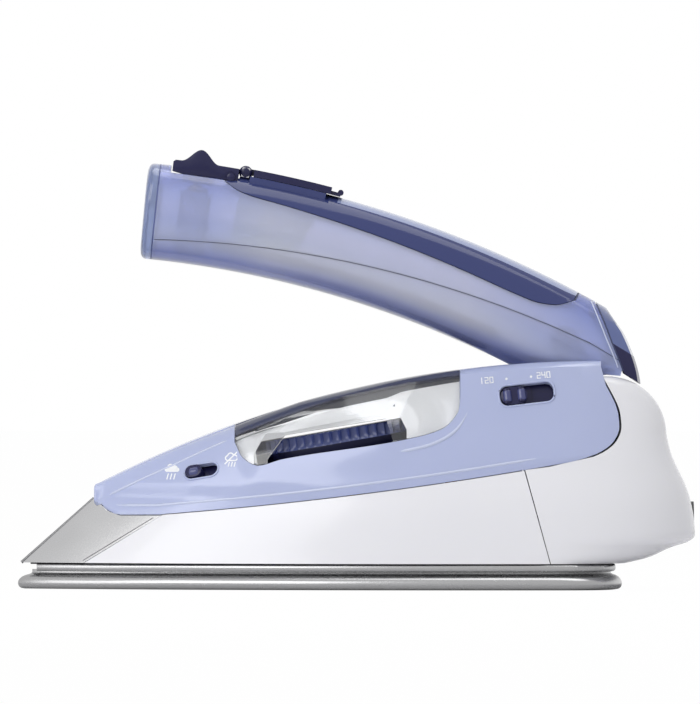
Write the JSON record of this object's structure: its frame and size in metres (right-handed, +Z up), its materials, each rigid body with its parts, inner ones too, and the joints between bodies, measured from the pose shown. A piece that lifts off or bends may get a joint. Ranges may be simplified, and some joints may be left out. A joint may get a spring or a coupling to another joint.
{
  "type": "travel steam iron",
  "caption": "Folding travel steam iron with a curved hollow handle hinged at the heel, a thermostat dial in a clear window, a steam trigger and a filler lid.",
  "frame": {"origin": "on the ironing surface, under the middle of the overall length and width", "axes": "+X towards the heel, -X towards the pointed nose, +Z up, handle unfolded"},
  "size_m": [0.215, 0.085, 0.1393],
  "materials": {
    "sole_metal": "polished ironing face, satin edges",
    "tip_metal": "satin silver",
    "cast_aluminium": "as cast",
    "steel": "plated steel",
    "brass": "bright",
    "red_silicone": "moulded silicone",
    "black_seal": "matt rubber",
    "white_plastic": "gloss",
    "blue_cover": "tinted gloss",
    "blue_clear": "tinted translucent gloss",
    "clear_plastic": "clear gloss",
    "navy_plastic": "dark blue gloss",
    "black_plastic": "satin",
    "hose": "milky silicone",
    "milky_plastic": "milky",
    "lamp": "amber lens"
  },
  "bodies": {
    "iron": {"soleplate": "sole_metal", "base_seal": "black_seal", "heater_casting": "cast_aluminium", "heating_element": "steel", "element_terminals": "brass", "chamber_gasket": "red_silicone", "steam_chamber_cover": "steel", "heat_shield": "steel", "heater_screws": "steel", "precision_tip": "tip_metal", "skirt": "white_plastic", "rear_housing": "white_plastic", "top_cover": "blue_cover", "dial_window": "clear_plastic", "thermostat_body": "white_plastic", "thermostat_blade": "brass", "thermal_fuse": "white_plastic", "drip_valve_body": "milky_plastic", "needle_spring": "steel", "feed_hose": "hose", "selector_switch": "black_plastic", "pilot_lamp": "lamp", "terminal_block": "white_plastic", "wiring": "black_plastic", "cord_gland": "black_plastic", "hinge_bearings": "milky_plastic", "hinge_pin": "steel", "housing_screws": "steel"},
    "handle": {"handle_lower_shell": "blue_clear", "handle_upper_shell": "blue_clear", "handle_end_cap": "blue_clear", "handle_top_strip": "blue_clear", "heel_cover": "blue_clear", "tank_bulkhead": "blue_clear", "hinge_arm": "steel", "handle_screws": "steel", "tank_outlet_hose": "hose", "filler_well": "milky_plastic", "lid_pin": "steel", "trigger_pin": "steel", "pump_barrel": "milky_plastic", "pump_spring": "steel"},
    "dial": {"thermostat_dial": "navy_plastic", "dial_spindle": "brass"},
    "steam_knob": {"steam_slider": "navy_plastic"},
    "needle": {"valve_needle": "brass"},
    "voltage_knob": {"voltage_selector": "navy_plastic"},
    "trigger": {"steam_trigger": "navy_plastic"},
    "piston": {"pump_piston": "brass"},
    "lid": {"filler_lid": "navy_plastic", "lid_seal": "black_seal"},
    "button": {"release_button": "navy_plastic", "button_spring": "steel"}
  },
  "joints": [
    {"name": "handle_fold", "type": "hinge", "parent": "iron", "child": "handle", "pos_m": [0.08, 0, 0.049], "axis": [0, -1, 0], "range_deg": [0, 21]},
    {"name": "dial_turn", "type": "hinge", "parent": "iron", "child": "dial", "pos_m": [-0.0032, 0, 0.047], "axis": [-0.1702, 0, 0.9854], "range_deg": [0, 270]},
    {"name": "steam_slide", "type": "slide", "parent": "iron", "child": "steam_knob", "axis": [0.9343, -0.3217, 0.1537], "range_m": [0, 0.005]},
    {"name": "needle_lift", "type": "slide", "parent": "iron", "child": "needle", "axis": [0, 0, 1], "range_m": [0, 0.002], "deforming": ["needle_spring"]},
    {"name": "voltage_slide", "type": "slide", "parent": "iron", "child": "voltage_knob", "axis": [0.9924, 0.0403, 0.1161], "range_m": [0, 0.008]},
    {"name": "trigger_press", "type": "hinge", "parent": "handle", "child": "trigger", "pos_m": [-0.03968, 0, 0.13072], "axis": [0, -1, 0], "range_deg": [0, 10], "stiffness_Nm_per_rad": 0.6, "springref_deg": -5.73},
    {"name": "pump_stroke", "type": "slide", "parent": "handle", "child": "piston", "axis": [-0.1392, 0, -0.9903], "range_m": [0, 0.0018], "stiffness_N_per_m": 30, "springref_m": -0.002, "deforming": ["pump_spring"]},
    {"name": "lid_open", "type": "hinge", "parent": "handle", "child": "lid", "pos_m": [-0.03489, 0, 0.13277], "axis": [0, -1, 0], "range_deg": [0, 100]},
    {"name": "button_press", "type": "slide", "parent": "handle", "child": "button", "axis": [-1, 0, 0], "range_m": [0, 0.002], "stiffness_N_per_m": 600, "springref_m": -0.002}
  ],
  "couplings": [
    {"joint": "needle_lift", "follows": "steam_slide", "ratio": 0.4},
    {"joint": "trigger_press", "follows": "pump_stroke", "rad_per_m": 96.9}
  ]
}
